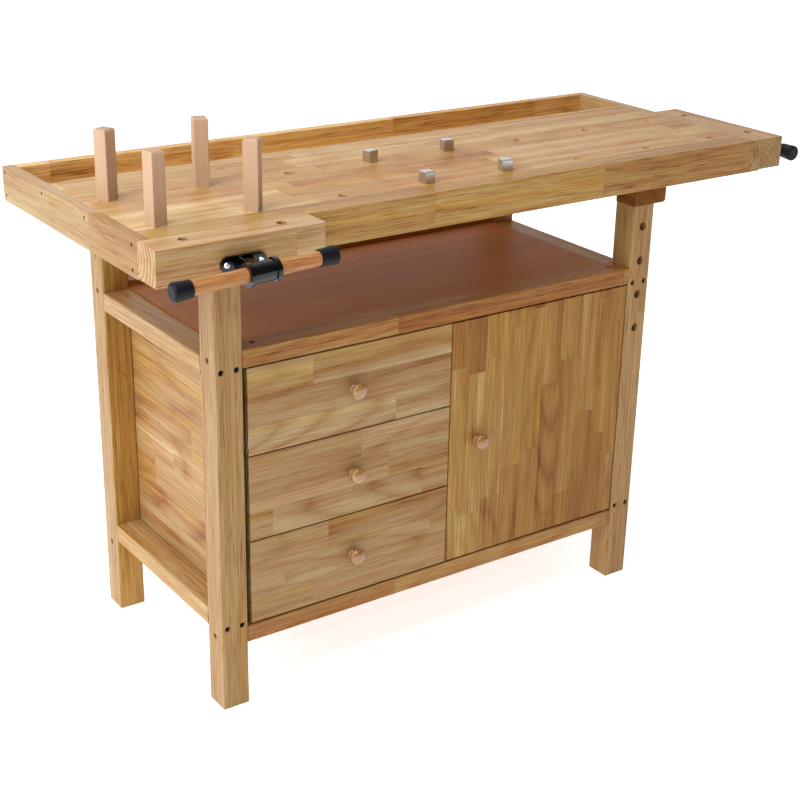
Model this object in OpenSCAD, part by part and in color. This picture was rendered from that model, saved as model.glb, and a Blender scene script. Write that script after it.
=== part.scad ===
// Joiner's workbench: a planked top with a tool tray and two screw vises, on a four-legged
// frame that holds a shelf, three drawers and a cupboard.
//
// Bench coordinates: x = 0 is the outer face of the left end board, y = 0 the front face of the
// top and z = 0 the floor. on_centre() moves them to the middle of the whole bench's footprint.

/* [Top] */
// Height of the working surface above the floor
top_h = 850; // [800:5:950]
// Length of the top over its end boards
top_l = 1270; // [1265:1:1300]
// Depth of the top from the front edge to the back board
top_d = 507; // [500:1:540]
// Height of the front edge, end boards and back board
edge_h = 59; // [56:1:70]
// Thickness of the planked slab
slab_t = 25; // [22:1:28]
// Thickness of the front edge
front_edge_t = 45; // [40:1:48]
// Thickness of the end boards and the back board
board_t = 20; // [18:1:24]
// Radius of the eased edges of the top, the rails and the fronts
ease_r = 2; // [1:0.5:3]
// Clear width of the tool tray
tray_w = 122; // [100:1:130]

/* [Dog holes] */
// Diameter of the dog holes and of the peg holes in the leg
dog_hole_d = 16; // [14:1:19]
// Distance of the first column of dog holes from the left end
dog_first_x = 60; // [55:1:65]
// Distance from one column of dog holes to the next
dog_pitch_x = 162.5; // [158:0.5:163]
// Distance of the front row of dog holes from the front edge
dog_front_y = 58; // [55:1:62]
// Distance from the front row of dog holes to the back row
dog_pitch_y = 167; // [150:1:170]

/* [Frame] */
// Side of a square leg
leg_w = 49; // [45:1:50]
// Radius of a leg's long edges
leg_r = 3; // [1:0.5:4]
// How far the left legs stand in from the left end
left_overhang = 133.5; // [125:0.5:140]
// How far the right legs stand in from the right end
right_overhang = 233; // [220:1:240]
// How far the legs stand in from the front and the back
leg_setback = 28.5; // [20:0.5:34]
// Height of the bearers between the legs and the top
bearer_h = 37; // [30:1:45]
// How far the bearers stick out past the legs
bearer_out = 26; // [15:1:35]
// Height of the front and back rails
rail_h = 30.5; // [28:0.5:34]
// Depth of the front and back rails
rail_d = 46; // [40:1:48]
// Height of the side rails
side_rail_h = 32; // [28:1:36]
// Height of the underside of the upper front rail
opening_top = 609; // [590:1:620]
// Height of the upper face of the lower front rail
opening_bottom = 148.5; // [140:0.5:160]

/* [Cabinet] */
// Thickness of the side panels and the divider
panel_t = 15; // [12:1:16]
// Thickness of the shelf panel, the cabinet's bottom and its back
ply_t = 6; // [5:1:6]
// Thickness of the drawer fronts and the door
front_t = 18; // [16:1:20]
// Gap between one front and the next
front_gap = 2; // [1.5:0.5:3]
// Gap between the fronts and the rails above and below them
rail_gap = 2.5; // [2:0.5:3]
// Depth of a drawer box behind its front
drawer_depth = 352; // [300:1:370]
// Thickness of the drawer's sides and back
drawer_side_t = 12; // [10:1:14]
// Diameter of the turned knobs
knob_d = 29; // [24:1:34]
// How far the knobs stand out
knob_l = 24; // [20:1:28]

/* [Vises] */
// Length of a vise jaw
jaw_l = 284; // [270:1:284]
// Thickness of a vise jaw
jaw_t = 57; // [50:1:60]
// Height of a vise jaw
jaw_h = 57; // [50:1:58]
// Depth of the vise screws below the working surface
screw_drop = 38; // [36:1:40]
// Diameter of a vise screw
screw_d = 16; // [14:1:18]
// Diameter of a guide rod
guide_d = 12; // [10:1:14]
// Distance from the bench to the middle of the handle
handle_y = 112; // [105:1:125]
// Overall length of a vise handle over its caps
handle_l = 268; // [230:1:290]
// Diameter of a vise handle
handle_d = 22; // [18:1:24]
// How far the front handle has slid to the left through its hub
front_handle_slip = 9; // [0:1:15]
// Slope of the front handle, right end high, in degrees
front_handle_tilt = 2.8; // [0:0.1:5]
// How far the tail handle has slid to the back through its hub
tail_handle_slip = 8; // [0:1:15]
// Slope of the tail handle, back end high, in degrees
tail_handle_tilt = 2.5; // [0:0.1:5]

/* [Bench dogs] */
// Side of a wooden post
post_w = 24; // [20:0.5:26]
// Height of a wooden post above the working surface
post_h = 111; // [90:1:130]
// Side of a metal dog's head
dog_w = 19; // [18:0.5:22]
// Height of a metal dog's head
dog_h = 20; // [15:1:22]

/* [Hidden] */
$fn = 48;
slot_gap = 0.2;          // play between a glued or grooved piece and its seat
run_gap = 0.1;           // radial play of a shaft or a dog's pin in its hole

// Colours
pale_wood = "burlywood";
warm_wood = "tan";
ply_brown = "rosybrown";
steel = "silver";
black = "#202428";
beech = "bisque";

// Levels of the top
slab_z = top_h - slab_t;
edge_z = top_h - edge_h;
leg_h = edge_z - bearer_h;
screw_z = top_h - screw_drop;
inner_l = top_l - 2 * board_t;
back_board_y = top_d - board_t;
slab_back_y = back_board_y - tray_w;
tray_rail_t = 20;
tray_floor_t = 8;

// Plan of the frame
left_x = left_overhang;
right_x = top_l - right_overhang - leg_w;
in_x0 = left_x + leg_w;
in_x1 = right_x;
in_l = in_x1 - in_x0;
front_y = leg_setback;
back_y = top_d - leg_setback - leg_w;
leg_x = [left_x, right_x];
leg_y = [front_y, back_y];
foot_chamfer = 2.5;

// Levels of the rails
upper_side_z = opening_top - side_rail_h / 2;
lower_side_z = opening_bottom - 4;
lower_rail_z = opening_bottom - rail_h;
back_rail_y = top_d - leg_setback - rail_d;
shelf_top = upper_side_z + side_rail_h + 3;
shelf_low = shelf_top - ply_t;

// Frame bolts: two into each end of a side rail, one into each end of a front or back rail
bolt_d = 6;
bolt_hole_d = 6.5;
bolt_head_d = 9.4;
bolt_head_h = 5;
bolt_recess_d = 10;
bolt_recess = 9;
bolt_reach = leg_w + 36;          // depth of the bolt's tip below the leg's face
nut_depth = leg_w + 30;           // depth of the cross dowel nut below the leg's face
nut_d = 10;
nut_l = 14;
side_bolt_dx = 13.75;
side_bolt_z = [lower_side_z + 10, upper_side_z + side_rail_h / 2];
rail_bolt_z = [lower_rail_z + rail_h / 2, opening_top + rail_h / 2];

// Peg holes in the front right leg
peg_hole_top = top_h - 135.5;
peg_hole_pitch = 64.8;
peg_hole_depth = 36;
peg_holes = 4;

// Screws through the end boards
end_screw_y = [front_edge_t / 2 - 6, (front_edge_t + slab_back_y) / 2 - 25, slab_back_y - 23,
    back_board_y + board_t / 2];
end_screw_top = top_h - 10;
end_screw_low = edge_z + 11;
end_screw_spots = concat([for (y = end_screw_y) [y, end_screw_top]],
    [[end_screw_y[0], end_screw_low], [end_screw_y[3], end_screw_low]]);

// Cabinet
front_face_y = front_y + 1;
box_y = front_face_y + front_t;
divider_y = box_y + 5;
case_back_y = back_rail_y + 7;
front_h = (opening_top - opening_bottom - 2 * rail_gap - 2 * front_gap) / 3;
drawer_x0 = in_x0 + 8.5;
door_x1 = in_x1 - 2.5;
divider_x = in_x0 + in_l / 2 - panel_t / 2 + 5;
drawer_x1 = divider_x + panel_t / 2 - front_gap / 2;
door_x0 = drawer_x1 + front_gap;
runner_w = 14;
runner_h = 11;
runner_lift = opening_bottom + ply_t - (opening_bottom + rail_gap);   // above a front's lower edge
box_lift = runner_lift + runner_h + 0.4;
box_drop = 14;
box_x0 = in_x0 + panel_t + 1.5;
box_x1 = divider_x - 1.5;
box_h = front_h - box_lift - box_drop;
bottom_ply_t = 5;
tenon_d = 8;
tenon_l = 10;
door_knob_in = 60;

// Door pivots
pivot_x = door_x1 - 10;
pivot_y = front_face_y + 6;
pivot_d = 6;
pivot_pin_l = 12;
pivot_plate = [30, 16, 1.5];

// Vises
jaw_below = jaw_h - screw_drop;
guide_dx = 50;
guide_out = 45;
guide_in = 210;
screw_in = 210;
jaw_dog_y = 25;
plate_l = 75;
plate_h = 25;
plate_t = 5;
plate_screw_dx = 28.4;
hub_l = 50;
hub_d = 31;
hub_flange_d = 36;
hub_flange_t = 7;
neck_d = 22;
cap_l = 30;
cap_d = 29;
cap_mouth_d = 26;
cap_depth = 26;
cap_edge = 4;
collar_d = 26;
collar_t = 4;
nut_plate = [140, 6, 24];
nut_boss_l = 22;
sleeve_l = 20;
front_screw_dx = 3;
front_vise_at = [jaw_l / 2 - front_screw_dx, 0, screw_z];
tail_vise_at = [top_l, jaw_l / 2, screw_z];

// Bench dogs: [column, row, turn in degrees]
posts = [[0, 0, 10], [0, 1, 25], [1, 0, 45.5], [1, 1, -17.8]];
dogs = [[3, 0, 2], [3, 1, 8], [4, 0, -16], [4, 1, -12]];
dog_columns = 8;
pin_l = slab_t - 1;

// The whole bench's footprint, which the origin sits in the middle of
handle_reach = (handle_l / 2 + front_handle_slip - cap_edge) * cos(front_handle_tilt)
    + (cap_d / 2 - cap_edge) * sin(front_handle_tilt) + cap_edge;
foot_x0 = min(0, front_vise_at[0] - handle_reach);
foot_x1 = top_l + handle_y + hub_flange_d / 2;
foot_y0 = -handle_y - hub_flange_d / 2;
centre = [(foot_x0 + foot_x1) / 2, (foot_y0 + top_d) / 2, 0];

// ---- Helpers ----

module on_centre() translate(-centre) children();

// A box from its two corners
module block(low, high) translate(low) cube(high - low);

// A rectangle with its own radius at each corner, anticlockwise from the origin
module rounded(w, h, r) difference() {
    square([w, h]);
    for (i = [0 : 3]) if (r[i] > 0) {
        far_w = i == 1 || i == 2 ? 1 : 0;
        far_h = i > 1 ? 1 : 0;
        translate([far_w * w, far_h * h]) mirror([far_w, 0]) mirror([0, far_h]) difference() {
            translate([-1, -1]) square(r[i] + 1);
            translate([r[i], r[i]]) circle(r = r[i]);
        }
    }
}

// A board between two corners, its long edges along one axis eased by the four radii
module board(low, high, axis, r) translate(low) {
    s = high - low;
    if (axis == "x") rotate([90, 0, 90]) linear_extrude(s[0]) rounded(s[1], s[2], r);
    if (axis == "y") translate([0, s[1], 0]) rotate([90, 0, 0]) linear_extrude(s[1]) rounded(s[0], s[2], r);
    if (axis == "z") linear_extrude(s[2]) rounded(s[0], s[1], r);
}

// A drawer front or a door: all four edges of its outer face are eased
module front_board(low, high) intersection() {
    board(low, high, "x", [ease_r, 0, 0, ease_r]);
    board(low, high, "z", [ease_r, ease_r, 0, 0]);
}

// A cylinder that starts at a point and runs along +X, +Y or +Z
module rod(at, axis, length, d) {
    turn = axis == "x" ? [0, 90, 0] : axis == "y" ? [-90, 0, 0] : [0, 0, 0];
    translate(at) rotate(turn) cylinder(h = length, d = d);
}

function dog_x(column) = dog_first_x + dog_pitch_x * column;
function dog_y(row) = dog_front_y + dog_pitch_y * row;

// Lower edge of a drawer front: drawer 1 is the top one
function drawer_z(n) = opening_bottom + rail_gap + (3 - n) * (front_h + front_gap);

// ---- The top ----

module worktop_slab() color(pale_wood) on_centre() difference() {
    board([board_t, front_edge_t, slab_z], [top_l - board_t, slab_back_y, top_h], "x", [0, 0, ease_r, 0]);
    for (column = [0 : dog_columns - 1]) {
        for (row = [0, 1]) rod([dog_x(column), dog_y(row), slab_z - 1], "z", slab_t + 2, dog_hole_d);
    }
    end_screw_cores();
}

// The front edge has the bores that the front vise's screw and guides run through
module front_edge() color(pale_wood) on_centre() difference() {
    board([board_t, 0, edge_z], [top_l - board_t, front_edge_t, top_h], "x", [ease_r, 0, 0, ease_r]);
    translate(front_vise_at) vise_bores(front_edge_t);
    end_screw_cores();
}

module tray_front_rail() color(pale_wood) on_centre()
    block([board_t, slab_back_y - tray_rail_t, edge_z], [top_l - board_t, slab_back_y, slab_z]);

module tray_floor() color(warm_wood) on_centre()
    block([board_t, slab_back_y, edge_z], [top_l - board_t, back_board_y, edge_z + tray_floor_t]);

module tray_back_board() color(pale_wood) on_centre() difference() {
    board([board_t, back_board_y, edge_z], [top_l - board_t, top_d, top_h], "x", [0, ease_r, ease_r, ease_r]);
    end_screw_cores();
}

// One end board, with its outer face at x = 0 and its inner face at x = board_t
module end_board() difference() {
    intersection() {
        board([0, 0, edge_z], [board_t, top_d, top_h], "y", [ease_r, 0, 0, ease_r]);
        board([0, 0, edge_z], [board_t, top_d, top_h], "x", [ease_r, ease_r, ease_r, ease_r]);
    }
    end_screw_holes();
}

module left_end_board() color(pale_wood) on_centre() end_board();

module right_end_board() color(pale_wood) on_centre() difference() {
    translate([top_l, 0, 0]) mirror([1, 0, 0]) end_board();
    translate(tail_vise_at) rotate([0, 0, 90]) vise_bores(board_t);
}

// Holes for the countersunk end board screws, seen from the left end
module end_screw_holes() for (spot = end_screw_spots) {
    rod([-1, spot[0], spot[1]], "x", 5, 6.2);
    rod([-1, spot[0], spot[1]], "x", board_t + 2, 4 + slot_gap);
}

// The same screws' holes in the boards that they hold, at both ends
module end_screw_cores() for (end = [0, 1]) {
    translate([end * top_l, 0, 0]) mirror([end, 0, 0]) for (spot = end_screw_spots) {
        rod([board_t - 1, spot[0], spot[1]], "x", 27, 4 + slot_gap);
    }
}

module end_board_screws() color(steel) on_centre() for (end = [0, 1]) {
    translate([end * top_l, 0, 0]) mirror([end, 0, 0]) for (spot = end_screw_spots) {
        rod([1.4, spot[0], spot[1]], "x", 2.4, 6);
        rod([1.4, spot[0], spot[1]], "x", 42, 4);
    }
}

// ---- The frame ----

// A square leg at a corner of the frame, its foot chamfered, with its bolt holes
module leg(side, end) difference() {
    at = [leg_x[side], leg_y[end], 0];
    intersection() {
        board(at, at + [leg_w, leg_w, leg_h], "z", [leg_r, leg_r, leg_r, leg_r]);
        translate(at) rotate([90, 0, 90]) linear_extrude(leg_w) foot_outline();
        translate(at + [0, leg_w, 0]) rotate([90, 0, 0]) linear_extrude(leg_w) foot_outline();
    }
    frame_bolt_holes();
}

module foot_outline() polygon([[foot_chamfer, 0], [leg_w - foot_chamfer, 0], [leg_w, foot_chamfer],
    [leg_w, leg_h], [0, leg_h], [0, foot_chamfer]]);

// Places its children at every frame bolt, with the leg's outer face at z = 0 and the bolt
// running down towards -z
module at_side_bolts() for (side = [0, 1], end = [0, 1], z = side_bolt_z, dx = [-1, 1]) {
    translate([leg_x[side] + leg_w / 2 + dx * side_bolt_dx, end == 0 ? front_y : back_y + leg_w, z])
        rotate([end == 0 ? 90 : -90, 0, 0]) rotate([0, 0, end * 180]) children();
}

module at_rail_bolts() for (side = [0, 1], end = [0, 1], z = rail_bolt_z) {
    translate([side == 0 ? left_x : right_x + leg_w, leg_y[end] + leg_w / 2, z])
        rotate([0, side == 0 ? -90 : 90, 0]) rotate([0, 0, side * 180]) children();
}

module frame_bolt_holes() {
    at_side_bolts() bolt_hole(0);
    at_rail_bolts() bolt_hole(90);
}

// A counterbored bolt hole with the cross hole for its dowel nut
module bolt_hole(cross_turn) {
    translate([0, 0, -bolt_recess]) cylinder(h = bolt_recess + 1, d = bolt_recess_d);
    translate([0, 0, -bolt_reach - 1]) cylinder(h = bolt_reach + 2, d = bolt_hole_d);
    translate([0, 0, -nut_depth]) cross_dowel(nut_d + slot_gap, 0, cross_turn);
}

// A dowel nut's hole that opens at one side of the rail, or with length the nut itself
module cross_dowel(d, length, cross_turn) rotate([0, 0, cross_turn])
    rotate([90, 0, 0]) translate([0, 0, -nut_l / 2]) cylinder(h = length > 0 ? length : 60, d = d);

module bolt(cross_turn) {
    difference() {
        translate([0, 0, -bolt_recess]) cylinder(h = bolt_head_h, d = bolt_head_d);
        translate([0, 0, -bolt_recess + 2]) cylinder(h = bolt_head_h, d = 5, $fn = 6);
    }
    translate([0, 0, -nut_depth]) cylinder(h = nut_depth - bolt_recess + 1, d = bolt_d);
    translate([0, 0, -nut_depth]) cross_dowel(nut_d, nut_l, cross_turn);
}

module frame_bolts() color(steel) on_centre() {
    at_side_bolts() bolt(0);
    at_rail_bolts() bolt(90);
}

module front_left_leg() color(pale_wood) on_centre() leg(0, 0);

module front_right_leg() color(pale_wood) on_centre() difference() {
    leg(1, 0);
    for (i = [0 : peg_holes - 1]) {
        rod([right_x + leg_w / 2, front_y - 1, peg_hole_top - i * peg_hole_pitch], "y",
            peg_hole_depth + 1, dog_hole_d);
    }
}

module back_left_leg() color(pale_wood) on_centre() leg(0, 1);

module back_right_leg() color(pale_wood) on_centre() leg(1, 1);

// A short bearer lies on each leg, under the top's edges, and sticks out at its outer side
module leg_bearers() color(warm_wood) on_centre() for (y = leg_y) {
    bearer(left_x - bearer_out, y, [6, 0, 0, 1]);
    bearer(right_x, y, [0, 6, 1, 0]);
}

module bearer(x, y, r)
    board([x, y, leg_h], [x + leg_w + bearer_out, y + leg_w, edge_z], "y", r);

module side_rails() color(pale_wood) on_centre() difference() {
    for (x = leg_x, z = [lower_side_z, upper_side_z]) {
        board([x, front_y + leg_w, z], [x + leg_w, back_y, z + side_rail_h], "y",
            [ease_r, ease_r, ease_r, ease_r]);
    }
    frame_bolt_holes();
}

// A rail between two legs, with its front face at y
module cross_rail(y, z)
    board([in_x0, y, z], [in_x1, y + rail_d, z + rail_h], "x", [ease_r, 1, 1, ease_r]);

module upper_front_rail() color(pale_wood) on_centre() difference() {
    cross_rail(front_y, opening_top);
    frame_bolt_holes();
    pivot_seat(opening_top, 0);
}

module lower_front_rail() color(pale_wood) on_centre() difference() {
    cross_rail(front_y, lower_rail_z);
    frame_bolt_holes();
    pivot_seat(opening_bottom, 1);
}

module back_rails() color(warm_wood) on_centre() difference() {
    for (z = [lower_rail_z, opening_top]) cross_rail(back_rail_y, z);
    frame_bolt_holes();
}

// ---- The cabinet ----

// Outline of the side panels and the divider, seen from the side: y across, z up
module case_outline(front, bottom) polygon([
    [front, bottom], [case_back_y, bottom], [case_back_y, opening_top],
    [back_rail_y, opening_top], [back_rail_y, shelf_low],
    [front_y + rail_d, shelf_low], [front_y + rail_d, opening_top], [front, opening_top]]);

module upright(x, front, bottom) translate([x, 0, 0]) rotate([90, 0, 90])
    linear_extrude(panel_t) case_outline(front, bottom);

module left_side_panel() color(warm_wood) on_centre()
    upright(in_x0, front_y + rail_d, opening_bottom);

module right_side_panel() color(warm_wood) on_centre()
    upright(in_x1 - panel_t, front_y + rail_d, opening_bottom);

module divider() color(warm_wood) on_centre()
    upright(divider_x, divider_y, opening_bottom + ply_t);

module back_panel() color(ply_brown) on_centre()
    block([in_x0, case_back_y, opening_bottom], [in_x1, case_back_y + ply_t, opening_top]);

module cabinet_bottom() color(ply_brown) on_centre()
    block([in_x0 + panel_t, divider_y, opening_bottom], [in_x1 - panel_t, case_back_y, opening_bottom + ply_t]);

module shelf_panel() color(ply_brown) on_centre()
    block([in_x0, front_y + rail_d, shelf_low], [in_x1, back_rail_y, shelf_top]);

module drawer_runners() color(warm_wood) on_centre()
    for (n = [1 : 3], x = [in_x0 + panel_t, divider_x - runner_w]) {
        block([x, front_y + rail_d + 2, drawer_z(n) + runner_lift],
            [x + runner_w, case_back_y - 4, drawer_z(n) + runner_lift + runner_h]);
    }

// ---- The drawers ----

module drawer_front(n) color(pale_wood) on_centre() difference() {
    front_board([drawer_x0, front_face_y, drawer_z(n)], [drawer_x1, box_y, drawer_z(n) + front_h]);
    rod([(drawer_x0 + drawer_x1) / 2, front_face_y - 1, drawer_z(n) + front_h / 2], "y",
        tenon_l + 1.2, tenon_d + slot_gap);
}

// Two sides, a back and a bottom in grooves, as separate boards
module drawer_box(n) color(warm_wood) on_centre() translate([box_x0, box_y, drawer_z(n) + box_lift]) {
    w = box_x1 - box_x0;
    groove_z = 8;
    groove = 6;
    difference() {
        for (x = [0, w - drawer_side_t]) translate([x, 0, 0]) cube([drawer_side_t, drawer_depth, box_h]);
        translate([drawer_side_t - groove, -1, groove_z - slot_gap])
            cube([w - 2 * drawer_side_t + 2 * groove, drawer_depth + 2, bottom_ply_t + 2 * slot_gap]);
    }
    translate([drawer_side_t + slot_gap, drawer_depth - drawer_side_t, groove_z + bottom_ply_t + slot_gap])
        cube([w - 2 * drawer_side_t - 2 * slot_gap, drawer_side_t, box_h - groove_z - bottom_ply_t - slot_gap]);
    translate([drawer_side_t - groove + slot_gap, 0, groove_z])
        cube([w - 2 * drawer_side_t + 2 * groove - 2 * slot_gap, drawer_depth - 1, bottom_ply_t]);
}

// A turned mushroom knob with a tenon, its axis along -y from the face it stands on
module knob(at) translate(at) rotate([90, 0, 0]) {
    head = [knob_d / 2, 8.5];
    head_z = knob_l - head[1];
    rotate_extrude() polygon(concat(
        [[0, 0], [8.5, 0], [8.5, 1.5], [6.8, 3.5], [6.2, 5.5], [6.6, 7.5]],
        [for (a = [-52 : 12 : 80]) [head[0] * cos(a), head_z + head[1] * sin(a)]],
        [[0, knob_l]]));
    translate([0, 0, -tenon_l]) cylinder(h = tenon_l + 1, d = tenon_d);
}

module drawer_knob(n) color(warm_wood) on_centre()
    knob([(drawer_x0 + drawer_x1) / 2, front_face_y, drawer_z(n) + front_h / 2]);

// ---- The door ----

module door_panel() color(pale_wood) on_centre() {
    low = opening_bottom + rail_gap;
    high = opening_top - rail_gap;
    difference() {
        front_board([door_x0, front_face_y, low], [door_x1, box_y, high]);
        rod([door_x0 + door_knob_in, front_face_y - 1, (low + high) / 2], "y", tenon_l + 1.2, tenon_d + slot_gap);
        for (z = [low - 1, high - pivot_pin_l]) {
            rod([pivot_x, pivot_y, z], "z", pivot_pin_l + 1, pivot_d + 2 * run_gap);
        }
    }
}

module door_knob() color(warm_wood) on_centre()
    knob([door_x0 + door_knob_in, front_face_y, (opening_bottom + opening_top) / 2]);

// A pivot plate let into a rail, its pin reaching into the door's end. side 0 hangs, 1 stands
module door_pivot(z, side) translate([pivot_x, pivot_y, z]) mirror([0, 0, side]) {
    translate([-20, -3, 0]) cube(pivot_plate);
    translate([0, 0, -pivot_pin_l]) cylinder(h = pivot_pin_l + 1, d = pivot_d);
}

module pivot_seat(z, side) translate([pivot_x, pivot_y, z]) mirror([0, 0, side])
    translate([-20 - slot_gap, -3 - slot_gap, -1]) cube(pivot_plate + [2 * slot_gap, 2 * slot_gap, 1]);

module door_pivots() color(steel) on_centre() {
    door_pivot(opening_top, 0);
    door_pivot(opening_bottom, 1);
}

// ---- The vises ----
// A vise is drawn with its screw along y, the bench's face at y = 0 and the jaw at y < 0

// Clear holes through the bench's edge for the screw and the guides
module vise_bores(depth) {
    rod([0, -1, 0], "y", depth + 2, screw_d + 1);
    for (side = [-1, 1]) rod([side * guide_dx, -1, 0], "y", depth + 2, guide_d + 1);
}

// The jaw's outer corners have a radius each, dog_dx is from its middle to its dog holes, and
// its middle is off to one side of the screw
module jaw(left_r, right_r, dog_dx, off = 0) {
    low = [off - jaw_l / 2, -jaw_t, -jaw_below];
    high = [off + jaw_l / 2, 0, screw_drop];
    difference() {
        intersection() {
            board(low, high, "z", [left_r, right_r, 1, 1]);
            board(low, high, "x", [ease_r, 1, 1, ease_r]);
            board(low, high, "y", [ease_r, ease_r, ease_r, ease_r]);
        }
        rod([0, -jaw_t - 1, 0], "y", jaw_t + 2, screw_d + 1);
        rod([0, -5, 0], "y", 6, collar_d + 2);
        for (side = [-1, 1]) {
            rod([side * guide_dx, -guide_out, 0], "y", guide_out + 1, guide_d + slot_gap);
            rod([off + side * dog_dx, -jaw_dog_y, -jaw_below - 1], "z", jaw_h + 2, dog_hole_d);
        }
    }
}

// A plate with round ends, and the heads of the two socket screws that hold it
module vise_plate() difference() {
    translate([0, -jaw_t, 0]) rotate([90, 0, 0]) {
        linear_extrude(plate_t) {
            square([plate_l - plate_h, plate_h], center = true);
            for (side = [-1, 1]) translate([side * (plate_l - plate_h) / 2, 0]) circle(d = plate_h);
        }
        for (side = [-1, 1]) translate([side * plate_screw_dx, 0, plate_t]) difference() {
            cylinder(h = 1.8, d1 = 9.5, d2 = 7);
            translate([0, 0, 0.4]) cylinder(h = 2, d = 4, $fn = 6);
        }
    }
    rod([0, -jaw_t - plate_t - 1, 0], "y", plate_t + 2, screw_d + 1);
}

module guides() for (side = [-1, 1]) {
    rod([side * guide_dx, -guide_out + 1, 0], "y", guide_out + guide_in - 1, guide_d);
}

// The screw runs from the hub through the jaw to the nut; its collar pulls the jaw back
module vise_screw() {
    rod([0, -jaw_t - plate_t - 1, 0], "y", jaw_t + plate_t + 1 + screw_in, screw_d);
    rod([0, -collar_t - 0.5, 0], "y", collar_t, collar_d);
}

module hub(tilt) difference() {
    union() {
        translate([0, -handle_y, 0]) rotate([0, -tilt, 0]) {
            rod([-hub_l / 2, 0, 0], "x", hub_l, hub_d);
            for (x = [-hub_l / 2, hub_l / 2 - hub_flange_t]) rod([x, 0, 0], "x", hub_flange_t, hub_flange_d);
        }
        rod([0, -handle_y, 0], "y", handle_y - jaw_t - plate_t - 1, neck_d);
        rod([0, -jaw_t - plate_t - 6, 0], "y", 5, 30);
    }
    translate([0, -handle_y, 0]) rotate([0, -tilt, 0])
        rod([-hub_l, 0, 0], "x", 2 * hub_l, handle_d + 2 * run_gap);
}

// Children are drawn along the handle, whose middle has slid by slip towards -x
module on_handle(slip, tilt) translate([0, -handle_y, 0]) rotate([0, -tilt, 0])
    translate([-slip, 0, 0]) children();

module handle_rod() rod([-handle_l / 2 + cap_l - cap_depth + slot_gap, 0, 0], "x",
    handle_l - 2 * (cap_l - cap_depth + slot_gap), handle_d);

// A soft cap with a rounded end, pushed over each end of the handle
module handle_caps() for (side = [0, 1]) mirror([side, 0, 0]) {
    translate([-handle_l / 2, 0, 0]) rotate([0, 90, 0]) difference() {
        rotate_extrude() polygon(concat([[0, 0]],
            [for (a = [-90 : 15 : 0]) [cap_d / 2 - cap_edge + cap_edge * cos(a), cap_edge + cap_edge * sin(a)]],
            [[cap_mouth_d / 2, cap_l], [0, cap_l]]));
        translate([0, 0, cap_l - cap_depth]) cylinder(h = cap_depth + 1, d = handle_d + slot_gap);
    }
}

// A flanged nut with a sleeve for each guide, screwed to the inside of the bench's edge
module nut_block(wall) translate([0, wall, 0]) difference() {
    union() {
        translate([-nut_plate[0] / 2, 0, -nut_plate[2] / 2]) cube(nut_plate);
        rod([0, 0, 0], "y", nut_plate[1] + nut_boss_l, 24);
        for (side = [-1, 1]) rod([side * guide_dx, 0, 0], "y", nut_plate[1] + sleeve_l, 18);
    }
    rod([0, -1, 0], "y", nut_plate[1] + nut_boss_l + 2, screw_d + 2 * run_gap);
    for (side = [-1, 1]) {
        rod([side * guide_dx, -1, 0], "y", nut_plate[1] + sleeve_l + 2, guide_d + 2 * run_gap);
    }
}

module at_front_vise() on_centre() translate(front_vise_at) children();

module at_tail_vise() on_centre() translate(tail_vise_at) rotate([0, 0, 90]) children();

module front_vise_jaw() color(pale_wood) at_front_vise()
    jaw(2, 9, dog_pitch_x / 2, front_screw_dx);
module front_vise_plate() color(black) at_front_vise() vise_plate();
module front_vise_guides() color(steel) at_front_vise() guides();
module front_vise_screw() color(steel) at_front_vise() vise_screw();
module front_vise_hub() color(black) at_front_vise() hub(front_handle_tilt);
module front_vise_handle() color("peru") at_front_vise()
    on_handle(front_handle_slip, front_handle_tilt) handle_rod();
module front_vise_caps() color(black) at_front_vise()
    on_handle(front_handle_slip, front_handle_tilt) handle_caps();

module tail_vise_jaw() color(pale_wood) at_tail_vise() jaw(3, 3, dog_pitch_y / 2);
module tail_vise_plate() color(black) at_tail_vise() vise_plate();
module tail_vise_guides() color(steel) at_tail_vise() guides();
module tail_vise_screw() color(steel) at_tail_vise() vise_screw();
module tail_vise_hub() color(black) at_tail_vise() hub(tail_handle_tilt);
module tail_vise_handle() color("peru") at_tail_vise()
    on_handle(-tail_handle_slip, tail_handle_tilt) handle_rod();
module tail_vise_caps() color(black) at_tail_vise()
    on_handle(-tail_handle_slip, tail_handle_tilt) handle_caps();

module vise_nuts() color(steel) {
    at_front_vise() nut_block(front_edge_t);
    at_tail_vise() nut_block(board_t);
}

// ---- Bench dogs ----

// Places its children on the working surface over a dog hole
module at_dog_hole(spot) on_centre() translate([dog_x(spot[0]), dog_y(spot[1]), top_h])
    rotate([0, 0, spot[2]]) children();

// A square head with eased edges and a chamfered top, on a round pin
module square_dog(w, h, chamfer, edge) {
    outline = [[0, 0], [w, 0], [w, h - chamfer], [w - chamfer, h], [chamfer, h], [0, h - chamfer]];
    intersection() {
        board([-w / 2, -w / 2, 0], [w / 2, w / 2, h], "z", [edge, edge, edge, edge]);
        translate([-w / 2, -w / 2, 0]) rotate([90, 0, 90]) linear_extrude(w) polygon(outline);
        translate([-w / 2, w / 2, 0]) rotate([90, 0, 0]) linear_extrude(w) polygon(outline);
    }
    translate([0, 0, -pin_l]) cylinder(h = pin_l + 1, d = dog_hole_d - 2 * run_gap);
}

module post(n) color(beech) at_dog_hole(posts[n - 1]) square_dog(post_w, post_h, 2.5, 1.5);

module dog(n) color(steel) at_dog_hole(dogs[n - 1]) square_dog(dog_w, dog_h, 1.2, 0.8);

// ---- Nodes ----

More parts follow.
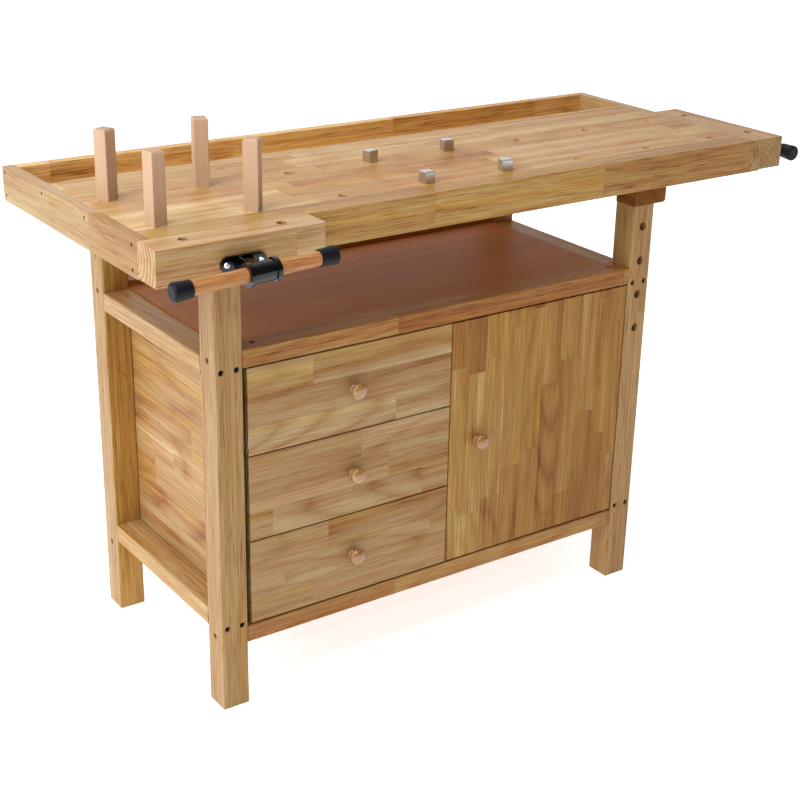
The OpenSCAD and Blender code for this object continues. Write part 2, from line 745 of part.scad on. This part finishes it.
worktop_slab();
front_edge();
tray_front_rail();
tray_floor();
tray_back_board();
left_end_board();
right_end_board();
end_board_screws();
front_left_leg();
front_right_leg();
back_left_leg();
back_right_leg();
leg_bearers();
side_rails();
upper_front_rail();
lower_front_rail();
back_rails();
frame_bolts();
left_side_panel();
right_side_panel();
back_panel();
divider();
cabinet_bottom();
shelf_panel();
drawer_runners();
drawer_front(1);  // drawer_1_front
drawer_box(1);  // drawer_1_box
drawer_knob(1);  // drawer_1_knob
drawer_front(2);  // drawer_2_front
drawer_box(2);  // drawer_2_box
drawer_knob(2);  // drawer_2_knob
drawer_front(3);  // drawer_3_front
drawer_box(3);  // drawer_3_box
drawer_knob(3);  // drawer_3_knob
door_panel();
door_knob();
door_pivots();
front_vise_jaw();
front_vise_plate();
front_vise_guides();
front_vise_screw();
front_vise_hub();
front_vise_handle();
front_vise_caps();
tail_vise_jaw();
tail_vise_plate();
tail_vise_guides();
tail_vise_screw();
tail_vise_hub();
tail_vise_handle();
tail_vise_caps();
vise_nuts();
post(1);  // post_1
post(2);  // post_2
post(3);  // post_3
post(4);  // post_4
dog(1);  // dog_1
dog(2);  // dog_2
dog(3);  // dog_3
dog(4);  // dog_4
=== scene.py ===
# Looks for the joiner's workbench: procedural materials on the CAD nodes, the small fittings
# that the CAD leaves out, and a plain pale studio.
import math

import bmesh
import bpy
from mathutils import Matrix, Vector


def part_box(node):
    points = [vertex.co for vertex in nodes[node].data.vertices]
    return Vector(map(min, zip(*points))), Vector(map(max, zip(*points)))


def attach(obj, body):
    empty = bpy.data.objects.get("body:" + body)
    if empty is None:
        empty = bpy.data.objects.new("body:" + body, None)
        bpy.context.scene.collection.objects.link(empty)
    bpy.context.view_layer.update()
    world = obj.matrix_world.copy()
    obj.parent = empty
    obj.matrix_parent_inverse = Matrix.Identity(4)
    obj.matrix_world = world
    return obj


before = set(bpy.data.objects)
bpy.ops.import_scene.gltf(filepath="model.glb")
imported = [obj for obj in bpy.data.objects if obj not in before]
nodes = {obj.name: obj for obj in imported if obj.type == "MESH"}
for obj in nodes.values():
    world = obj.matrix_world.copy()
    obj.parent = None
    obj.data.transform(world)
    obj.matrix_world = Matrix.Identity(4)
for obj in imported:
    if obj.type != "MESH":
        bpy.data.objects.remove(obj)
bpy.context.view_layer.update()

AXES = {"x": 0, "y": 1, "z": 2}
VISE_Z = 0.812  # height of both vise screws
FRONT_VISE_X = -0.5588  # where the front vise's screw is along the top
TAIL_VISE_Y = -0.0465  # where the tail vise's screw is across the top
THREAD_PITCH = 0.006
PLATE_SCREW_OFF = 0.0284  # from a vise plate's middle to each of its two screws
PLATE_SCREW_R = 0.0047
GLUE_LINE = 0.0011
RING = 0.009  # distance between growth rings
SMOOTH_ANGLE = 35  # edges sharper than this, in degrees, stay sharp


# ---- Shader helpers ----

def linear(r, g, b):
    """A linear colour from 0-255 display values."""
    def one(v):
        v /= 255
        return v / 12.92 if v <= 0.04045 else ((v + 0.055) / 1.055) ** 2.4
    return (one(r), one(g), one(b), 1.0)


def shade(tones, *by):
    """The same tones, lighter or darker in red, green and blue."""
    return [tuple(v * k for v, k in zip(tone, by)) for tone in tones]


class Shader:
    """Builds a material's nodes; each call returns an output socket."""

    def __init__(self, name):
        self.mat = bpy.data.materials.new(name)
        self.mat.use_nodes = True
        self.tree = self.mat.node_tree
        self.bsdf = self.tree.nodes["Principled BSDF"]
        self.coords = self.tree.nodes.new("ShaderNodeTexCoord")

    def node(self, kind, inputs=(), **settings):
        n = self.tree.nodes.new("ShaderNode" + kind)
        for key, value in settings.items():
            setattr(n, key, value)
        for key, value in dict(inputs).items():
            self.feed(n.inputs[key], value)
        return n

    def feed(self, socket, value):
        if isinstance(value, bpy.types.NodeSocket):
            self.tree.links.new(value, socket)
        else:
            socket.default_value = value

    def math(self, operation, a, b=0.0):
        return self.node("Math", {0: a, 1: b}, operation=operation).outputs[0]

    def mul(self, a, b):
        return self.math("MULTIPLY", a, b)

    def add(self, a, b):
        return self.math("ADD", a, b)

    def sub(self, a, b):
        return self.math("SUBTRACT", a, b)

    def size(self, a):
        return self.math("ABSOLUTE", a)

    def part(self, a):
        """What is left of a number over a whole one."""
        return self.math("FRACT", a)

    def sway(self, fac, depth):
        """Turns 0 to 1 into a swing of that depth, half of it to either side of nought."""
        return self.mul(self.sub(fac, 0.5), depth)

    def split(self, vector):
        return self.node("SeparateXYZ", {0: vector}).outputs

    def join(self, x, y, z):
        return self.node("CombineXYZ", {0: x, 1: y, 2: z}).outputs[0]

    def noise(self, vector, scale=1.0, detail=2.0, rough=0.5):
        n = self.node("TexNoise", {"Vector": vector, "Scale": scale, "Detail": detail,
                                   "Roughness": rough})
        return n.outputs["Fac"]

    def white(self, x, y, z):
        """Three unrelated random numbers for a cell."""
        n = self.node("TexWhiteNoise", {"Vector": self.join(x, y, z)}, noise_dimensions="3D")
        return self.node("SeparateColor", {0: n.outputs["Color"]}).outputs

    def ramp(self, fac, tones):
        """Display colours spread evenly over 0 to 1."""
        n = self.node("ValToRGB", {0: fac})
        points = n.color_ramp.elements
        while len(points) > 1:
            points.remove(points[-1])
        points[0].position, points[0].color = 0.0, linear(*tones[0])
        for i, tone in enumerate(tones[1:], start=1):
            points.new(i / (len(tones) - 1)).color = linear(*tone)
        return n.outputs[0]

    def span(self, value, low, high, to_low=0.0, to_high=1.0):
        n = self.node("MapRange", {0: value, 1: low, 2: high, 3: to_low, 4: to_high})
        n.interpolation_type = "SMOOTHSTEP"
        return n.outputs[0]

    def mix(self, fac, a, b, blend="MIX"):
        n = self.node("Mix", data_type="RGBA", blend_type=blend)
        self.feed(n.inputs[0], fac)
        self.feed(n.inputs[6], a)
        self.feed(n.inputs[7], b)
        return n.outputs[2]

    def scale_colour(self, colour, factor):
        """Multiplies a colour by a number."""
        first = colour[:3] if isinstance(colour, tuple) else colour
        n = self.node("VectorMath", {0: first}, operation="SCALE")
        self.feed(n.inputs["Scale"], factor)
        return n.outputs[0]

    def facing(self, axis):
        """How squarely the surface faces along an axis of the object, either way."""
        return self.size(self.split(self.coords.outputs["Normal"])[AXES[axis]])

    def bump(self, height, strength, distance):
        n = self.node("Bump", {"Height": height, "Strength": strength, "Distance": distance})
        self.tree.links.new(n.outputs[0], self.bsdf.inputs["Normal"])

    def set(self, **values):
        for key, value in values.items():
            self.feed(self.bsdf.inputs[key.replace("_", " ")], value)
        return self.mat


# ---- Materials ----

def wood(name, grain, across, tones, stave=0.05, length=0.4, origin=0.0, seed=0.0, spread=0.2,
         ring_depth=0.15, broad_depth=0.65, streak=0.45, fibre=1.05, pores=0.24, pink=0.5, gold=0.8,
         knots=0.0, end_tone=0.8, rough=0.42, coat=0.03, joint=0.09, gloss=0.15, tilt=0.05, painted_wall_light=1.0,
         painted_side_shade=0.0, end_rings=3.0, core=0.0, painted_falloff=0.0):
    """Edge-glued hardwood. grain runs along the staves, and across is the direction they lie side
    by side in, from origin on.

    tones: display colours from the darkest streak to the palest
    stave, length: the staves' size in metres; spread: how much their tones differ
    ring_depth, broad_depth, streak, fibre, pores: how strong each layer of the grain is
    pink, gold, knots: how strong the pinkish parts, the golden parts and the knots are
    end_tone, end_rings: how dark end grain is, and how much stronger its rings are
    joint: how dark the glue lines are
    tilt, core: the rings' slope to the grain, and where their middle lies through the thickness
    painted_wall_light: painted light on upright faces, such as the walls of upright holes: how bright
    they are beside the level faces
    painted_side_shade: painted shade, how much more golden and darker the faces to the front and the
    back are
    painted_falloff: painted falloff of the light, how much paler the wood gets per metre along the grain"""
    s = Shader(name)
    place = s.split(s.coords.outputs["Object"])
    thick = ({"x", "y", "z"} - {grain, across}).pop()
    g, b, c = (place[AXES[a]] for a in (grain, across, thick))

    # Which stave: rows side by side, each cut into lengths end to end
    lane = s.mul(s.sub(b, origin), 1.0 / stave)
    row = s.math("FLOOR", lane)
    slide = s.add(s.mul(g, 1.0 / length), s.mul(s.white(row, seed, 3.7)[0], 17.0))
    piece = s.math("FLOOR", slide)
    r1, r2, r3 = s.white(row, piece, seed + 0.5)[0:3]
    q1, q2, q3 = s.white(piece, row, seed + 9.5)[0:3]
    shift = s.mul(r2, 11.0)

    def layer(along, over, detail=3.0, rough=0.6, offset=0.0):
        """Noise drawn out along the grain, different in each stave; along and over per metre."""
        side = s.add(s.mul(b, over), s.add(shift, offset))
        return s.noise(s.join(s.mul(g, along), side, s.mul(c, over)), 1.0, detail, rough)

    # Growth rings about a pith that lies off to one side of each stave, at a slight slope
    off_side = s.sub(s.sub(s.part(lane), 0.5), s.sway(r2, 2.0))
    b1 = s.add(s.mul(off_side, stave), s.mul(s.sway(q2, tilt), g))
    c1 = s.add(s.add(s.sub(c, core), s.mul(r3, 0.08)), s.mul(s.sway(q3, tilt * 4), g))
    radius = s.math("SQRT", s.add(s.mul(b1, b1), s.mul(c1, c1)))
    thick_way = s.add(s.mul(c, 14.0), s.mul(r1, 30.0))
    wander = s.noise(s.join(s.mul(g, 3.0), s.mul(b, 14.0), thick_way))
    turns = s.add(s.mul(radius, 1.0 / RING), s.mul(wander, 1.6))
    wave = s.size(s.sub(s.mul(s.part(turns), 2.0), 1.0))
    rings = s.mul(s.sub(s.math("POWER", wave, 2.5), 0.3), s.mul(s.add(q1, 0.15), ring_depth))

    # End grain is darker and shows its rings, by the surface's own direction
    ends = s.span(s.facing(grain), 0.6, 0.8)
    end_fade = s.span(ends, 0, 1, 1, 0.3)
    rings = s.mul(rings, s.add(1.0, s.mul(ends, end_rings)))

    # One value from dark to pale: the stave's own tone, bands, streaks, fibres and open pores
    broad = layer(1.3, 32.0, 2.0, 0.5)
    medium = layer(2.4, 90.0, 3.0, 0.6, 3.0)
    fine = layer(6.5, 420.0, 2.0, 0.7, 5.0)
    pore = s.span(layer(22.0, 560.0, 1.0, 0.4, 7.0), 0.55, 0.68)
    value = s.add(0.5, s.sway(r1, spread))
    # Painted light falloff: the tone changes steadily along the grain, per metre
    value = s.add(value, s.mul(g, painted_falloff))
    value = s.add(value, s.sway(broad, broad_depth))
    value = s.add(value, s.sway(medium, streak))
    value = s.add(value, s.mul(s.sway(fine, fibre), end_fade))
    value = s.sub(value, rings)
    value = s.sub(value, s.mul(s.mul(pore, pores), end_fade))

    # Glue lines between staves and at their ends
    side_line = s.span(s.size(s.sub(s.part(lane), 0.5)), 0.5 - GLUE_LINE / stave, 0.5)
    end_line = s.span(s.size(s.sub(s.part(slide), 0.5)), 0.5 - GLUE_LINE / length, 0.5)
    line = s.math("MAXIMUM", side_line, end_line)
    value = s.sub(value, s.mul(line, joint))
    colour = s.ramp(value, tones)

    # Pinkish and golden parts, and knots
    tint = s.add(s.mul(layer(1.8, 48.0, 2.0, 0.5, 9.0), 0.8), s.mul(q2, 0.22))
    pinkish = s.mul(s.span(tint, 0.5, 0.7), pink)
    golden = s.mul(s.span(tint, 0.5, 0.34), gold)
    colour = s.mix(pinkish, colour, (1.03, 0.87, 0.8, 1), "MULTIPLY")
    colour = s.mix(golden, colour, (1.04, 0.92, 0.55, 1), "MULTIPLY")
    if knots:
        knot = s.noise(s.join(s.mul(g, 24.0), s.mul(b, 46.0), s.mul(c, 46.0)), 1.0, 1.0, 0.3)
        colour = s.mix(s.mul(s.span(knot, 0.73, 0.79), knots), colour, linear(104, 58, 24))

    colour = s.scale_colour(colour, s.add(1.0, s.mul(ends, end_tone - 1.0)))
    # Painted shade: faces to the front and the back turn more golden and darker, by which way they face
    if painted_side_shade:
        golden = s.mul(s.span(s.facing("y"), 0.4, 0.8), painted_side_shade)
        colour = s.mix(golden, colour, (1.03, 0.9, 0.5, 1), "MULTIPLY")
    # Painted light: upright faces, such as the walls of upright holes, get their colour scaled by this
    # factor
    if painted_wall_light != 1.0:
        colour = s.scale_colour(colour, s.span(s.facing("z"), 0.3, 0.6, painted_wall_light, 1.0))
    s.feed(s.bsdf.inputs["Base Color"], colour)
    s.feed(s.bsdf.inputs["Roughness"], s.add(rough, s.sway(medium, 0.2)))
    height = s.add(s.add(s.mul(fine, 0.4), s.mul(pore, -0.6)), s.mul(line, -0.8))
    s.bump(height, 0.2, 0.0006)
    return s.set(Coat_Weight=coat, Coat_Roughness=0.15, Specular_IOR_Level=gloss)


def plain(name, colour, metal=0.0, rough=0.4, gloss=0.25, heads=None):
    """A metal, rubber or paint with a faint grit, smears in its gloss and worn tone. heads gives
    the side a vise plate lies along and its middle: the two screws in it stay bare steel."""
    s = Shader(name)
    coords = s.coords.outputs["Object"]
    fine = s.noise(coords, 300.0, 3.0, 0.6)
    broad = s.noise(coords, 36.0)
    wear = s.add(s.add(1.0, s.sway(fine, 0.06)), s.sway(broad, 0.12))
    paint = s.scale_colour(linear(*colour), wear)
    if heads:
        place = s.split(coords)
        off = s.sub(s.size(s.sub(place[AXES[heads[0]]], heads[1])), PLATE_SCREW_OFF)
        drop = s.sub(place[2], VISE_Z)
        apart = s.add(s.mul(off, off), s.mul(drop, drop))
        bare = s.math("LESS_THAN", apart, PLATE_SCREW_R ** 2)
        paint = s.mix(bare, paint, linear(206, 208, 214))
        s.feed(s.bsdf.inputs["Metallic"], bare)
    s.feed(s.bsdf.inputs["Base Color"], paint)
    s.feed(s.bsdf.inputs["Roughness"], s.add(rough, s.sway(broad, 0.1)))
    s.bump(fine, 0.05, 0.0004)
    if metal:
        s.set(Metallic=metal)
    return s.set(Specular_IOR_Level=gloss)


def threaded(name, along, side, middle):
    """Steel with a thread about a vise screw that runs along one axis; its colour is darker in the
    thread's roots and lighter on its crests, in patches.
    """
    s = Shader(name)
    coords = s.coords.outputs["Object"]
    place = s.split(coords)
    angle = s.math("ARCTAN2", s.sub(place[2], VISE_Z), s.sub(place[AXES[side]], middle))
    turns = s.add(s.mul(place[AXES[along]], 1 / THREAD_PITCH), s.mul(angle, 0.5 / math.pi))
    crest = s.span(s.size(s.sub(s.mul(s.part(turns), 2.0), 1.0)), 0.2, 0.8)
    crest_patches = s.span(s.noise(coords, 90.0, 3.0, 0.6), 0.2, 0.8, 0.5, 0.75)
    # Colour: darker in the thread's roots, lighter on its crests, in patches
    bright = s.add(0.35, s.mul(crest, crest_patches))
    s.feed(s.bsdf.inputs["Base Color"], s.scale_colour(linear(176, 176, 174), bright))
    s.feed(s.bsdf.inputs["Roughness"], s.span(crest, 0, 1, 0.5, 0.28))
    s.bump(crest, 1.0, 0.0012)
    return s.set(Metallic=1.0)


def dress(material, *names):
    for name in names:
        mesh = nodes[name].data
        mesh.materials.clear()
        mesh.materials.append(material)


# ---- Wood ----

HONEY = [(116, 60, 24), (146, 98, 52), (161, 121, 73), (173, 140, 92), (187, 158, 112),
         (212, 188, 146)]
PALE = [(124, 78, 36), (170, 122, 64), (198, 152, 88), (212, 170, 106), (224, 190, 130),
        (240, 212, 160)]
WARM = [(106, 50, 14), (136, 78, 30), (149, 99, 44), (160, 118, 59), (174, 139, 82),
        (202, 174, 120)]
DARK = [(62, 29, 7), (92, 51, 14), (114, 70, 24), (128, 83, 33), (142, 99, 47), (162, 122, 72)]
PLY = [(130, 81, 46), (160, 104, 61), (178, 119, 71), (188, 131, 81), (200, 149, 98)]
HANDLE = [(118, 70, 34), (162, 108, 62), (184, 130, 78), (200, 150, 98)]
BEECH = [(152, 114, 84), (182, 148, 115), (194, 162, 131), (204, 176, 146)]

# Top and jaws
dress(wood("top", "x", "y", shade(HONEY, 1.05, 1.06, 1.08), stave=0.052, length=0.42, origin=0.01,
           seed=1, knots=0.3, coat=0.0, gloss=0.08, painted_wall_light=1.5, gold=0.5, spread=0.36,
           broad_depth=0.78, painted_falloff=-0.2),
      "worktop_slab")
dress(wood("edge", "x", "z", shade(HONEY, 0.96, 0.95, 0.84), stave=0.062, length=0.36, origin=0.79,
           seed=2, painted_falloff=-0.08),
      "front_edge", "tray_front_rail")
dress(wood("tray", "x", "y", PALE, stave=0.07, length=0.5, seed=3), "tray_floor")
# The back board's pale tones are partly painted light, the light bounced off the worktop onto its inner
# face, and partly the board's own paler tone
dress(wood("back_board", "x", "z", PALE, stave=0.07, length=0.35, origin=0.785, seed=4, gold=0.4),
      "tray_back_board")
dress(wood("end_board", "y", "z", shade(HONEY, 1.0, 1.04, 1.1), stave=0.07, length=0.36,
           origin=0.785, seed=5, gold=0.3, fibre=0.85, pores=0.16, broad_depth=0.8),
      "left_end_board", "right_end_board")
dress(wood("front_jaw", "x", "z", shade(HONEY, 1.04, 1.07, 1.14), stave=0.07, length=0.8,
           origin=0.785, seed=6, end_tone=0.95, gold=0.4, core=-0.15, tilt=0.02, fibre=0.9,
           pores=0.18),
      "front_vise_jaw")
dress(wood("tail_jaw", "y", "z", HONEY, stave=0.07, length=0.8, origin=0.785, seed=7,
           end_tone=0.72, end_rings=1.5, core=0.64, pink=0.8),
      "tail_vise_jaw")

# Frame: each piece is one stave
LEG = dict(stave=0.6, length=2.0, origin=-0.1, broad_depth=0.35, streak=0.55)
CROSS = dict(stave=0.6, length=2.0, origin=-0.3)
dress(wood("front_leg", "z", "x", shade(HONEY, 0.945, 0.95, 0.93), seed=8, **LEG),
      "front_left_leg", "front_right_leg")
dress(wood("back_leg", "z", "x", shade(HONEY, 0.97, 0.98, 0.97), seed=20, painted_side_shade=0.9,
           knots=0.9, **LEG),
      "back_left_leg", "back_right_leg")
# The bearers' DARK tones are partly their own darker wood and partly painted shade from the worktop
# above them
dress(wood("bearer", "y", "x", shade(DARK, 0.98, 0.96, 0.92), seed=9, end_tone=0.95, gloss=0.05,
           coat=0.0, end_rings=1.0, **CROSS),
      "leg_bearers")
dress(wood("side_rail", "y", "x", HONEY, seed=10, **CROSS), "side_rails")
dress(wood("front_rail", "x", "z", shade(WARM, 1.0, 1.02, 1.14), stave=0.2, length=0.5,
           origin=0.5, seed=11),
      "upper_front_rail", "lower_front_rail", "back_rails")

# Cabinet
dress(wood("side_panel", "y", "z", HONEY, stave=0.052, length=0.7, origin=0.02, seed=12,
           pores=0.17, streak=0.35, ring_depth=0.25),
      "left_side_panel", "right_side_panel", "divider")
dress(wood("drawer_front", "x", "z", shade(HONEY, 0.935, 0.945, 0.965), stave=0.0505, length=0.3,
           seed=13, joint=0.04, pink=0.8, pores=0.15, fibre=0.85, streak=0.35, broad_depth=0.9,
           ring_depth=0.25),
      "drawer_1_front", "drawer_2_front", "drawer_3_front")
dress(wood("door", "z", "x", shade(WARM, 0.955, 0.96, 0.88), stave=0.043, length=0.27,
           origin=0.01, seed=14, spread=0.46, broad_depth=0.8, joint=0.03, gold=0.9, fibre=0.9,
           streak=0.35, ring_depth=0.28, pores=0.18),
      "door_panel")
dress(wood("drawer_box", "y", "z", HONEY, stave=0.3, length=2.0, seed=15, coat=0.0, rough=0.6),
      "drawer_1_box", "drawer_2_box", "drawer_3_box", "drawer_runners")
dress(wood("knob", "x", "z", shade(WARM, 1.04, 1.06, 1.12), stave=0.3, length=2.0, seed=16,
           rough=0.3, coat=0.8, pink=0.25, broad_depth=0.2, gloss=0.5),
      "drawer_1_knob", "drawer_2_knob", "drawer_3_knob", "door_knob")
SHEET = dict(stave=2.0, length=4.0, origin=-1, rough=0.5, coat=0.0, gloss=0.1, pink=0.0,
             gold=0.0, pores=0.1)
dress(wood("back_ply", "x", "z", shade(PLY, 0.84, 0.86, 0.9), seed=21, ring_depth=0.1, fibre=0.6,
           **SHEET),
      "back_panel")
dress(wood("ply", "x", "y", PLY, seed=17, ring_depth=0.05, streak=0.3, fibre=0.5, **SHEET),
      "shelf_panel", "cabinet_bottom")

# Handles and posts
ROD = dict(stave=0.5, length=2.0, seed=18, rough=0.32, coat=0.2, pink=0.0, gold=0.3)
dress(wood("handle", "x", "z", HANDLE, **ROD), "front_vise_handle")
dress(wood("tail_handle", "y", "z", HANDLE, **ROD), "tail_vise_handle")
dress(wood("post", "z", "x", BEECH, stave=0.5, length=2.0, seed=19, coat=0.0, rough=0.6,
           ring_depth=0.05, streak=0.2, fibre=0.2, pores=0.1, broad_depth=0.2, pink=0.0, gold=0.0),
      "post_1", "post_2", "post_3", "post_4")

# ---- Metal and rubber ----

BLACK = (4, 4, 5)
dress(plain("nickel", (196, 193, 186), metal=1.0, rough=0.28), "dog_1", "dog_2", "dog_3", "dog_4")
dress(plain("dark_screw", (46, 42, 38), metal=0.8, rough=0.5), "end_board_screws", "frame_bolts")
dress(plain("steel", (170, 170, 168), metal=1.0, rough=0.32),
      "door_pivots", "front_vise_guides", "tail_vise_guides", "vise_nuts")
dress(threaded("front_thread", "y", "x", FRONT_VISE_X), "front_vise_screw")
dress(threaded("tail_thread", "x", "y", TAIL_VISE_Y), "tail_vise_screw")
dress(plain("black_paint", BLACK, rough=0.1, gloss=0.5), "front_vise_hub", "tail_vise_hub")
dress(plain("front_plate", BLACK, rough=0.1, gloss=0.5, heads=("x", FRONT_VISE_X)),
      "front_vise_plate")
dress(plain("tail_plate", BLACK, rough=0.1, gloss=0.5, heads=("y", TAIL_VISE_Y)),
      "tail_vise_plate")
dress(plain("rubber", (10, 12, 17), rough=0.5, gloss=0.2), "front_vise_caps", "tail_vise_caps")


# ---- Shading: rounded faces smooth, flat ones flat ----

def smooth_group():
    """A modifier that welds a mesh, shades it smooth and marks its sharp edges."""
    tree = bpy.data.node_groups.new("smooth", "GeometryNodeTree")
    tree.interface.new_socket("Geometry", in_out="INPUT", socket_type="NodeSocketGeometry")
    tree.interface.new_socket("Geometry", in_out="OUTPUT", socket_type="NodeSocketGeometry")
    start = tree.nodes.new("NodeGroupInput")
    end = tree.nodes.new("NodeGroupOutput")
    merge = tree.nodes.new("GeometryNodeMergeByDistance")
    merge.inputs["Distance"].default_value = 1e-5
    faces = tree.nodes.new("GeometryNodeSetShadeSmooth")
    edge_angle = tree.nodes.new("GeometryNodeInputMeshEdgeAngle")
    sharp = tree.nodes.new("FunctionNodeCompare")
    sharp.operation = "LESS_EQUAL"
    sharp.inputs[1].default_value = math.radians(SMOOTH_ANGLE)
    edges = tree.nodes.new("GeometryNodeSetShadeSmooth")
    edges.domain = "EDGE"
    tree.links.new(start.outputs[0], merge.inputs["Geometry"])
    tree.links.new(merge.outputs[0], faces.inputs["Geometry"])
    tree.links.new(edge_angle.outputs["Unsigned Angle"], sharp.inputs[0])
    tree.links.new(faces.outputs[0], edges.inputs["Geometry"])
    tree.links.new(sharp.outputs[0], edges.inputs["Shade Smooth"])
    tree.links.new(edges.outputs[0], end.inputs[0])
    return tree


group = smooth_group()
for name in nodes:
    nodes[name].modifiers.new("smooth", "NODES").node_group = group
    nodes[name].modifiers.new("flats", "WEIGHTED_NORMAL").keep_sharp = True


# ---- The cupboard's magnetic catch ----

def block(name, low, high, body, material):
    """A box with eased edges, riding on a body."""
    mesh = bpy.data.meshes.new(name)
    b = bmesh.new()
    bmesh.ops.create_cube(b, size=1.0)
    for v in b.verts:
        v.co = [lo + (hi - lo) * (t + 0.5) for lo, hi, t in zip(low, high, v.co)]
    bmesh.ops.bevel(b, geom=b.edges[:], offset=0.0006, segments=2, affect="EDGES")
    b.to_mesh(mesh)
    b.free()
    mesh.materials.append(material)
    piece = bpy.data.objects.new(name, mesh)
    bpy.context.scene.collection.objects.link(piece)
    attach(piece, body)


# In the upper corner behind the door, on the divider: wall is the divider's right face and back
# the door's inner one
door_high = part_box("door_panel")[1]
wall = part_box("divider")[1][0]
back = door_high[1]
catch_z = door_high[2] - 0.06
block("catch_body", (wall, back + 0.0016, catch_z - 0.023), (wall + 0.014, back + 0.03, catch_z + 0.023),
      "bench", plain("catch_plastic", (118, 84, 52), rough=0.45))
block("catch_magnet", (wall + 0.004, back + 0.0013, catch_z - 0.017),
      (wall + 0.010, back + 0.02, catch_z + 0.017), "bench",
      plain("magnet", (92, 92, 96), metal=1.0, rough=0.35))
block("catch_strike", (wall + 0.001, back - 0.0005, catch_z - 0.019),
      (wall + 0.013, back + 0.0011, catch_z + 0.019), "door",
      plain("strike_steel", (186, 186, 184), metal=1.0, rough=0.3))

# ---- Studio ----

# White behind and to the left, dimmer and warmer in front and to the right of the bench
world = bpy.data.worlds.new("studio")
bpy.context.scene.world = world
world.use_nodes = True
tree = world.node_tree
sky = tree.nodes["Background"]
sky_coords = tree.nodes.new("ShaderNodeTexCoord")
toward = tree.nodes.new("ShaderNodeVectorMath")
toward.operation = "DOT_PRODUCT"
toward.inputs[1].default_value = (-0.5, 0.75, -0.1)
tree.links.new(sky_coords.outputs["Generated"], toward.inputs[0])


def sky_range(*values):
    """Maps how far a direction points towards the white side onto a range."""
    n = tree.nodes.new("ShaderNodeMapRange")
    for i, value in enumerate(values, start=1):
        n.inputs[i].default_value = value
    tree.links.new(toward.outputs["Value"], n.inputs[0])
    return n


level = sky_range(-0.7, 0.4, 0.14, 1.08)
level.interpolation_type = "SMOOTHSTEP"
tree.links.new(level.outputs[0], sky.inputs["Strength"])
tint = tree.nodes.new("ShaderNodeMix")
tint.data_type = "RGBA"
tint.inputs[6].default_value = (1, 0.9, 0.72, 1)
tint.inputs[7].default_value = (0.98, 1, 1.07, 1)
tree.links.new(sky_range(-0.6, 0.2, 0.0, 1.0).outputs[0], tint.inputs[0])
tree.links.new(tint.outputs[2], sky.inputs["Color"])

FLOOR_HALF = 30.0
mesh = bpy.data.meshes.new("floor")
corners = [(-1, -1), (1, -1), (1, 1), (-1, 1)]
mesh.from_pydata([(x * FLOOR_HALF, y * FLOOR_HALF, 0) for x, y in corners], [], [(0, 1, 2, 3)])
floor = bpy.data.objects.new("floor", mesh)
bpy.context.scene.collection.objects.link(floor)
s = Shader("pale_floor")
mottle = s.add(0.995, s.mul(s.noise(s.coords.outputs["Object"], 40.0), 0.01))
s.feed(s.bsdf.inputs["Base Color"], s.scale_colour((0.9, 0.9, 0.9, 1), mottle))
floor.data.materials.append(s.set(Roughness=0.9, Emission_Color=(0.94, 1, 1.03, 1),
                                  Emission_Strength=0.68))


def area_light(name, place, target, size, power, colour=(1, 1, 1)):
    data = bpy.data.lights.new(name, "AREA")
    data.color = colour
    data.shape = "RECTANGLE"
    data.size, data.size_y = size
    data.energy = power
    o = bpy.data.objects.new(name, data)
    o.location = place
    o.rotation_euler = (Vector(target) - Vector(place)).to_track_quat("-Z", "Y").to_euler()
    bpy.context.scene.collection.objects.link(o)


area_light("key", (-3.0, -0.5, 2.4), (0, 0, 0.7), (1.6, 1.6), 46, (0.97, 1, 1.12))
area_light("top", (-1.3, -0.5, 2.9), (-0.4, 0, 0.8), (2.0, 1.6), 38, (0.98, 1, 1.08))
area_light("spark", (-1.0, -2.6, 2.4), (-0.4, -0.3, 0.7), (0.18, 0.18), 9)

camera = bpy.data.objects.new("camera", bpy.data.cameras.new("camera"))
bpy.context.scene.collection.objects.link(camera)
bpy.context.scene.camera = camera
YAW, PITCH, ROLL = 0.6145, 0.393, 0.0213
ahead = Vector((math.sin(YAW) * math.cos(PITCH), math.cos(YAW) * math.cos(PITCH), -math.sin(PITCH)))
right = Vector((math.cos(YAW), -math.sin(YAW), 0))
up = right.cross(ahead)
right, up = (right * math.cos(ROLL) + up * math.sin(ROLL),
             up * math.cos(ROLL) - right * math.sin(ROLL))
turn = Matrix((right, up, -ahead)).transposed().to_4x4()
camera.matrix_world = Matrix.Translation((-1.5912, -2.1092, 1.4796)) @ turn
camera.data.sensor_width = 36.0
camera.data.lens = 69.02
camera.data.clip_end = 100

bpy.context.scene.view_settings.view_transform = "Standard"
